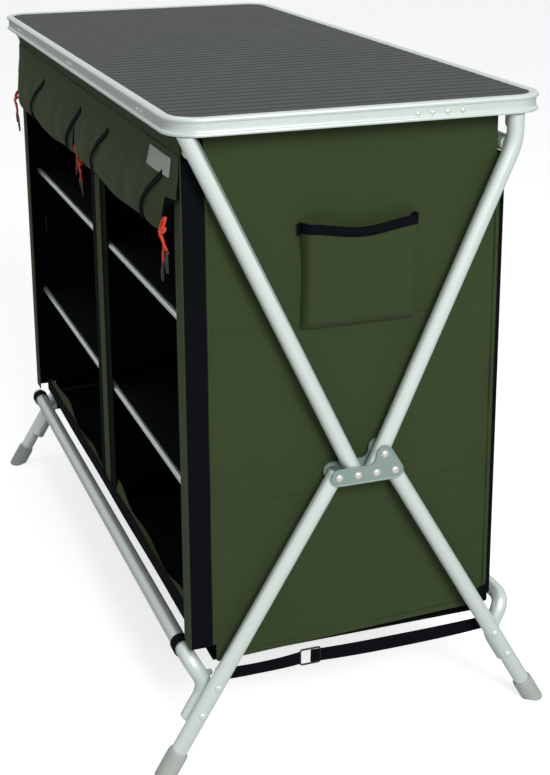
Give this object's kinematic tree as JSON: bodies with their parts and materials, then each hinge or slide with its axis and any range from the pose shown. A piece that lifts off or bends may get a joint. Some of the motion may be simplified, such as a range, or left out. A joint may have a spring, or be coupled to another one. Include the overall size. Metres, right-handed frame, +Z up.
{
  "type": "folding camping cupboard",
  "caption": "Folding camp cupboard: aluminium X-leg frame with a ribbed table top, a fabric body with shelves, rolled-up doors and a side pocket.",
  "frame": {"origin": "on the floor under the middle of the table", "axes": "+X along the table towards the end with the side pocket, -Y to the open front, +Z up"},
  "size_m": [1.08, 0.5537, 0.85],
  "materials": {
    "aluminium": "pale satin anodised",
    "dark_slats": "dark satin coating",
    "hub_grey": "grey-green coating",
    "plug_grey": "moulded",
    "foot_grey": "moulded",
    "black_plastic": "moulded",
    "green_cloth": "coated woven polyester",
    "black_cloth": "woven webbing and lining"
  },
  "bodies": {
    "back_frame": {"back_upper_tube_left": "aluminium", "back_upper_tube_right": "aluminium", "back_top_bar": "aluminium", "tube_plug_left": "plug_grey", "tube_plug_right": "plug_grey", "hub_plate_outer_left": "hub_grey", "hub_plate_outer_right": "hub_grey", "hub_plate_inner_left": "hub_grey", "hub_plate_inner_right": "hub_grey", "side_panel_left": "green_cloth", "side_panel_right": "green_cloth", "back_panel": "black_cloth", "divider_panel": "black_cloth", "floor_panel": "black_cloth", "shelf_board_lower_left": "black_cloth", "shelf_board_lower_right": "black_cloth", "shelf_board_upper_left": "black_cloth", "shelf_board_upper_right": "black_cloth", "shelf_bar_lower": "aluminium", "shelf_bar_upper": "aluminium", "front_header": "green_cloth", "front_strip_left": "green_cloth", "front_strip_right": "green_cloth", "front_strip_middle": "green_cloth", "corner_webbing_left": "black_cloth", "corner_webbing_right": "black_cloth", "front_hem": "black_cloth", "door_roll_left": "green_cloth", "door_roll_right": "green_cloth", "door_tie_1": "black_cloth", "door_tie_2": "black_cloth", "door_tie_3": "black_cloth", "door_tie_4": "black_cloth", "side_pocket": "green_cloth"},
    "front_frame": {"front_upper_tube_left": "aluminium", "front_upper_tube_right": "aluminium", "front_top_bar": "aluminium"},
    "table": {"table_rim": "aluminium", "table_top": "dark_slats", "table_brace_left": "aluminium", "table_brace_middle": "aluminium", "table_brace_right": "aluminium", "table_hinge_bracket_left": "aluminium", "table_hinge_bracket_right": "aluminium", "table_rest_left": "black_plastic", "table_rest_right": "black_plastic"},
    "lower_front": {"lower_front_leg_left": "aluminium", "lower_front_leg_right": "aluminium", "lower_front_crossbar": "aluminium", "lower_front_foot_left": "foot_grey", "lower_front_foot_right": "foot_grey", "strap_front_left": "black_cloth", "strap_front_right": "black_cloth"},
    "lower_back": {"lower_back_leg_left": "aluminium", "lower_back_leg_right": "aluminium", "lower_back_crossbar": "aluminium", "lower_back_foot_left": "foot_grey", "lower_back_foot_right": "foot_grey", "strap_back_left": "black_cloth", "strap_back_right": "black_cloth"}
  },
  "joints": [
    {"name": "table_lift", "type": "hinge", "parent": "back_frame", "child": "table", "pos_m": [0, 0.2033, 0.812], "axis": [-1, 0, 0], "range_deg": [0, 90]},
    {"name": "frame_fold", "type": "hinge", "parent": "back_frame", "child": "front_frame", "pos_m": [0, -0.00715, 0.381], "axis": [-1, 0, 0], "range_deg": [0, 46.6], "deforming": ["side_panel_left", "side_panel_right", "back_panel", "divider_panel", "floor_panel", "shelf_board_lower_left", "shelf_board_lower_right", "shelf_board_upper_left", "shelf_board_upper_right", "front_header", "front_strip_left", "front_strip_right", "front_strip_middle", "corner_webbing_left", "corner_webbing_right", "front_hem", "door_roll_left", "door_roll_right", "door_tie_1", "door_tie_2", "door_tie_3", "door_tie_4", "side_pocket"]},
    {"name": "lower_front_fold", "type": "hinge", "parent": "back_frame", "child": "lower_front", "pos_m": [0, -0.03245, 0.381], "axis": [-1, 0, 0], "range_deg": [0, 169.1], "deforming": ["strap_front_left", "strap_front_right"]},
    {"name": "lower_back_fold", "type": "hinge", "parent": "back_frame", "child": "lower_back", "pos_m": [0, 0.04345, 0.381], "axis": [1, 0, 0], "range_deg": [0, 119.1], "deforming": ["strap_back_left", "strap_back_right"]}
  ],
  "couplings": [
    {"joint": "frame_fold", "follows": "table_lift", "ratio": 0.51667},
    {"joint": "lower_front_fold", "follows": "table_lift", "ratio": 1.8778},
    {"joint": "lower_back_fold", "follows": "table_lift", "ratio": 1.3222}
  ]
}
